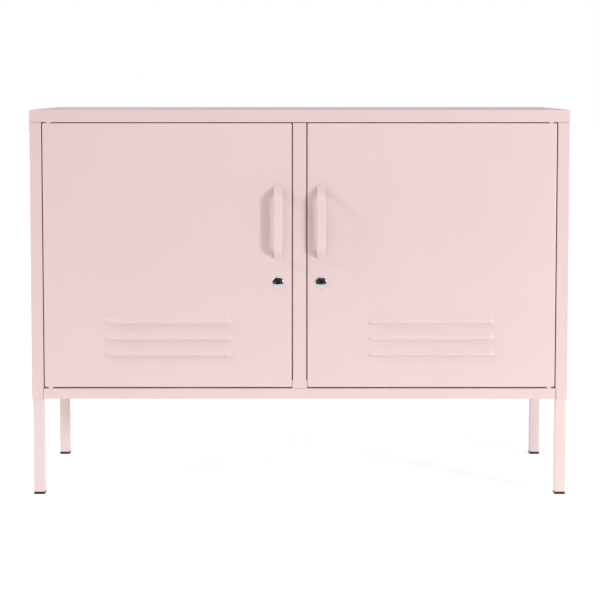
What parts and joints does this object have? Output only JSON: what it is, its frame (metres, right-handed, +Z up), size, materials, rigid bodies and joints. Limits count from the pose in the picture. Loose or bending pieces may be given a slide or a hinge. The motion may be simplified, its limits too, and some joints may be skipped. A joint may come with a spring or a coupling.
{
  "type": "locker cabinet",
  "caption": "Low steel locker cabinet on legs, with hinged doors, bow handles, cam locks, louvres, shelves and a centre divider.",
  "frame": {"origin": "on the floor, in the middle of the object's box with the handles counted", "axes": "+X to the right as seen from the front, doors and handles towards -Y, +Z up"},
  "size_m": [1, 0.424, 0.72],
  "materials": {
    "case_steel": "satin blush-pink powder coat",
    "door_steel": "satin blush-pink powder coat",
    "handle_steel": "satin blush-pink powder coat",
    "leg_steel": "satin blush-pink powder coat",
    "lock_chrome": "polished chrome plate",
    "zinc_steel": "bright zinc plate",
    "foot_plastic": "moulded black",
    "catch_plastic": "moulded white",
    "bush_plastic": "moulded natural nylon",
    "black_rubber": "soft black"
  },
  "bodies": {
    "root": {"top_panel": "case_steel", "bottom_panel": "case_steel", "back_panel": "case_steel", "centre_post": "case_steel", "centre_divider": "case_steel", "shelf_clips": "zinc_steel", "leg_bolts": "zinc_steel", "case_screws": "zinc_steel", "back_panel_screws": "zinc_steel", "post_screws": "zinc_steel", "divider_screws": "zinc_steel", "catch_screws": "zinc_steel", "front_left_leg": "leg_steel", "front_left_foot": "foot_plastic", "front_right_leg": "leg_steel", "front_right_foot": "foot_plastic", "back_left_leg": "leg_steel", "back_left_foot": "foot_plastic", "back_right_leg": "leg_steel", "back_right_foot": "foot_plastic", "left_side_panel": "case_steel", "left_front_upright": "case_steel", "left_back_upright": "case_steel", "left_shelf": "case_steel", "left_lower_hinge_pin": "zinc_steel", "left_upper_hinge_pin": "zinc_steel", "left_magnet_catch": "catch_plastic", "left_cable_grommet": "black_rubber", "right_side_panel": "case_steel", "right_front_upright": "case_steel", "right_back_upright": "case_steel", "right_shelf": "case_steel", "right_lower_hinge_pin": "zinc_steel", "right_upper_hinge_pin": "zinc_steel", "right_magnet_catch": "catch_plastic", "right_cable_grommet": "black_rubber"},
    "left_door": {"left_door_skin": "door_steel", "left_door_stiffener": "door_steel", "left_handle": "handle_steel", "left_handle_screws": "zinc_steel", "left_lock_barrel": "lock_chrome", "left_lock_nut": "zinc_steel", "left_strike_plate": "zinc_steel", "left_bump_stops": "black_rubber", "left_hinge_bushes": "bush_plastic"},
    "left_lock": {"left_lock_plug": "lock_chrome", "left_lock_cam": "zinc_steel", "left_cam_screw": "zinc_steel"},
    "right_door": {"right_door_skin": "door_steel", "right_door_stiffener": "door_steel", "right_handle": "handle_steel", "right_handle_screws": "zinc_steel", "right_lock_barrel": "lock_chrome", "right_lock_nut": "zinc_steel", "right_strike_plate": "zinc_steel", "right_bump_stops": "black_rubber", "right_hinge_bushes": "bush_plastic"},
    "right_lock": {"right_lock_plug": "lock_chrome", "right_lock_cam": "zinc_steel", "right_cam_screw": "zinc_steel"}
  },
  "joints": [
    {"name": "left_door_swing", "type": "hinge", "parent": "root", "child": "left_door", "pos_m": [-0.46525, -0.1825, 0.45], "axis": [0, 0, -1], "range_deg": [0, 110]},
    {"name": "right_door_swing", "type": "hinge", "parent": "root", "child": "right_door", "pos_m": [0.46525, -0.1825, 0.45], "axis": [0, 0, 1], "range_deg": [0, 110]},
    {"name": "left_lock_turn", "type": "hinge", "parent": "left_door", "child": "left_lock", "pos_m": [-0.04, -0.178, 0.3995], "axis": [0, -1, 0], "range_deg": [0, 90]},
    {"name": "right_lock_turn", "type": "hinge", "parent": "right_door", "child": "right_lock", "pos_m": [0.04, -0.178, 0.3995], "axis": [0, 1, 0], "range_deg": [0, 90]}
  ]
}
